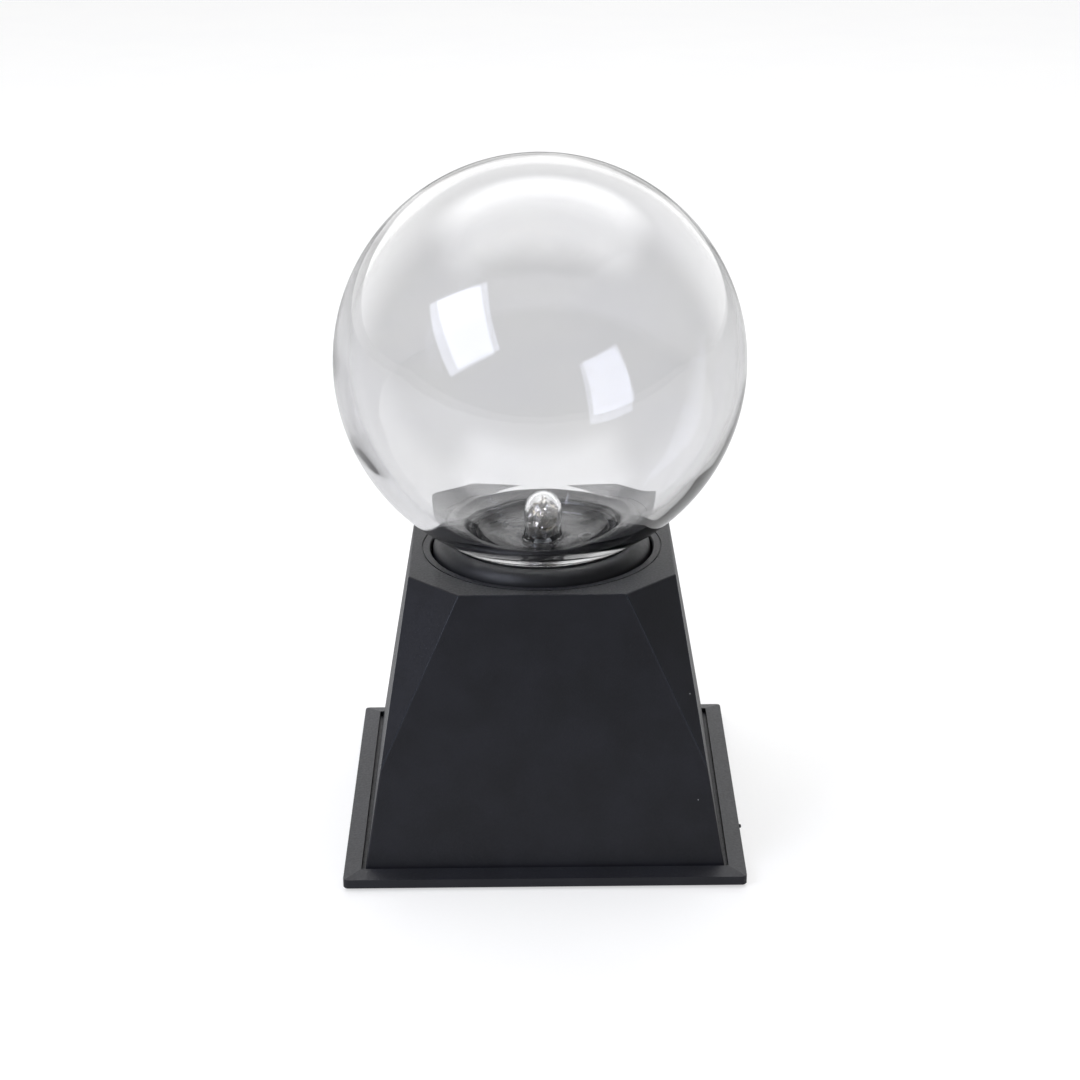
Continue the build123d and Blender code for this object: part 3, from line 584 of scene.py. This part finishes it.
globe_low, globe_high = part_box("glass_globe")
globe_r = (globe_high.x - globe_low.x) / 2 / MM
globe_z = globe_high.z / MM - globe_r
neck_bottom = globe_low.z / MM
neck_r = 25.0
bore_r = 60.9  # the hollow is a little smaller than the solid's, and off centre, as blowing leaves it
bore_z = globe_z + 1.0
bore_shift = 0.9
outer_corner = 2.5


def below_level(across, radius):
    """Angle below the horizon, in degrees, at which a sphere of this radius is this far from its axis."""
    return math.degrees(math.acos(across / radius))


def run_down(r, z, fall, runs):
    """A smooth profile inwards and down from r, z: each run has a length and the angle it ends at."""
    points = [(r, z)]
    steps = 12
    for length, last in runs:
        for i in range(steps):
            angle = math.radians(fall + (last - fall) * (i + 0.5) / steps)
            r -= length / steps * math.cos(angle)
            z -= length / steps * math.sin(angle)
            points.append((r, z))
        fall = last
    return points


outer_turn = below_level(neck_r + outer_corner, globe_r + outer_corner)
outer_corner_z = globe_z - math.sin(math.radians(outer_turn)) * (globe_r + outer_corner)
outer_skin = (
    [(0.0, globe_z + globe_r)]
    + arc(0, globe_z, globe_r, 89.0, -outer_turn, 110)
    + arc(neck_r + outer_corner, outer_corner_z, outer_corner, 180 - outer_turn, 180, 8)[1:]
    + [(neck_r, neck_bottom)]
)
# the cup that closes the neck: it dips under the sphere, to a nearly flat floor round the finger
dip_r = 27.2
dip_turn = below_level(dip_r, bore_r)
dip_z = bore_z - math.sin(math.radians(dip_turn)) * bore_r
cup = run_down(dip_r, dip_z, 90 - dip_turn, [(2.4, 50.0), (4.9, 50.0), (8.6, 3.0), (7.9, 2.0)])
hole_r, floor_z = cup[-1]
inner_skin = (
    [(hole_r + 1.0, neck_bottom), (hole_r, neck_bottom + 0.2), (hole_r - 0.2, neck_bottom + 0.7)]
    + [(hole_r - 0.2, floor_z - 0.3)]
    + cup[::-1]
    + arc(0, bore_z, bore_r, -dip_turn, 89.0, 130)[1:]
    + [(0.0, bore_z + bore_r)]
)


def blown(point, index):
    """The hollow sits off centre, so one side of the wall is thicker, and its skin waves a little."""
    wave_span, wave_depth = 26.0, 0.18
    still_below, free_above = 96.0, 126.0
    if index < len(outer_skin):
        return point
    free = min(1.0, max(0.0, (point.z - still_below) / (free_above - still_below)))
    wave = noise.noise(point / wave_span) * wave_depth
    outward = (point - Vector((0, 0, globe_z))).normalized()
    return point + Vector((bore_shift * free, 0, 0)) + outward * wave * free


globe = lathe("blown_globe", outer_skin + inner_skin, 224, blown)
settle(globe, GLASS, "clear_glass", "glass_globe")

finger_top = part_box("electrode_tube")[1].z / MM
finger_r, finger_wall = 6.4, 1.2
dome_z = finger_top - finger_r
# the outside swells where it is fused into the floor; both skins end in the bell mouth below it
finger_foot = [(6.3, 97.5), (6.2, 95.5), (6.2, 93.9), (6.3, 92.4), (6.5, 91.0), (6.75, 90.0), (6.9, 89.3)]
finger_bell = [(6.85, 88.4), (6.6, 87.6), (6.6, 86.9), (7.0, 86.1), (7.8, 85.5), (8.0, 84.9)]
finger_lip = [(7.6, 84.3), (6.9, 84.5), (6.1, 85.2)]
finger_bore = [(5.5, 86.3), (5.3, 88.0), (5.5, 89.6), (5.35, 91.5), (5.2, 93.5), (5.15, 95.5), (5.2, 97.5)]
finger_skin = (
    [(0.0, finger_top)]
    + arc(0, dome_z, finger_r, 86.0, 0.0, 20)
    + finger_foot
    + finger_bell
    + finger_lip
    + finger_bore
    + arc(0, dome_z, finger_r - finger_wall, 0.0, 86.0, 20)
    + [(0.0, finger_top - finger_wall)]
)


def drawn(point, index):
    """Glass drawn by hand over a flame: never quite round, and the wall varies."""
    wave_width, wave_height, wave_depth = 7.0, 5.0, 0.22
    still_below, free_above = 82.0, 88.0
    free = min(1.0, max(0.0, (point.z - still_below) / (free_above - still_below)))
    around = Vector((point.x, point.y, 0))
    if around.length < 1e-6:
        return point
    # the outer and the inner skin wave apart
    apart = index // 36
    spot = Vector((point.x / wave_width, point.y / wave_width, point.z / wave_height + apart))
    wave = noise.noise(spot) * wave_depth
    return point + around.normalized() * wave * free


finger = lathe("electrode_finger", finger_skin, 128, drawn)
settle(finger, GLASS, "clear_glass", "electrode_tube")

# ---- crumpled metal in the finger ----


def crumpled_slug():
    """A strip of foil crushed into the finger: big folded facets, broken up by smaller creases."""
    low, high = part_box("electrode_foil")
    middle = (low + high) / 2
    half_height = (high.z - low.z) / 2
    slug_r = (high.x - low.x) / 2
    grown = 1.12  # what crushing adds to the ball's height
    core = 0.35  # the share of the girth that the poles keep
    chance = random.Random(41)
    form = bmesh.new()
    bmesh.ops.create_icosphere(form, subdivisions=3, radius=1.0)

    def crush(amount):
        for v in form.verts:
            v.co += Vector([chance.uniform(-amount, amount) for _ in range(3)])

    crush(0.2)
    bmesh.ops.subdivide_edges(form, edges=form.edges, cuts=1, use_grid_fill=True)
    crush(0.06)
    bmesh.ops.subdivide_edges(form, edges=form.edges, cuts=1, use_grid_fill=True)
    crush(0.012)
    bmesh.ops.triangulate(form, faces=form.faces)
    for v in form.verts:
        side = Vector((v.co.x, v.co.y, 0))
        # from a ball to a stubby column with a rounded top
        swell = min(1.0, math.sqrt(max(0.0, 1.0 - abs(v.co.z) ** 5)) / max(core, side.length))
        side *= core + (1 - core) * swell
        if side.length > 1.0:
            side.normalize()
        v.co = Vector((side.x * slug_r, side.y * slug_r, middle.z + v.co.z / grown * half_height))
    return placed("crumpled_electrode", form)


settle(crumpled_slug(), FOIL, "metal_foil", "electrode_foil")

# ---- small leftovers of moulding ----


def gate_stub():
    """The nipped-off gate on the right-hand edge of the foot."""
    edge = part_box("base_plate")[1]
    form = bmesh.new()
    bmesh.ops.create_cone(
        form, cap_ends=True, segments=20, radius1=0.75 * MM, radius2=0.5 * MM, depth=0.9 * MM
    )
    bmesh.ops.bevel(form, geom=form.edges[:], offset=0.12 * MM, segments=2, affect="EDGES")
    stub_place = Matrix.Translation((edge.x + 0.35 * MM, -26.5 * MM, 2.4 * MM))
    form.transform(stub_place @ Matrix.Rotation(math.radians(82), 4, "Y"))
    for face in form.faces:
        face.smooth = True
    return placed("gate_stub", form)


settle(gate_stub(), BLACK_ABS, "black_abs")
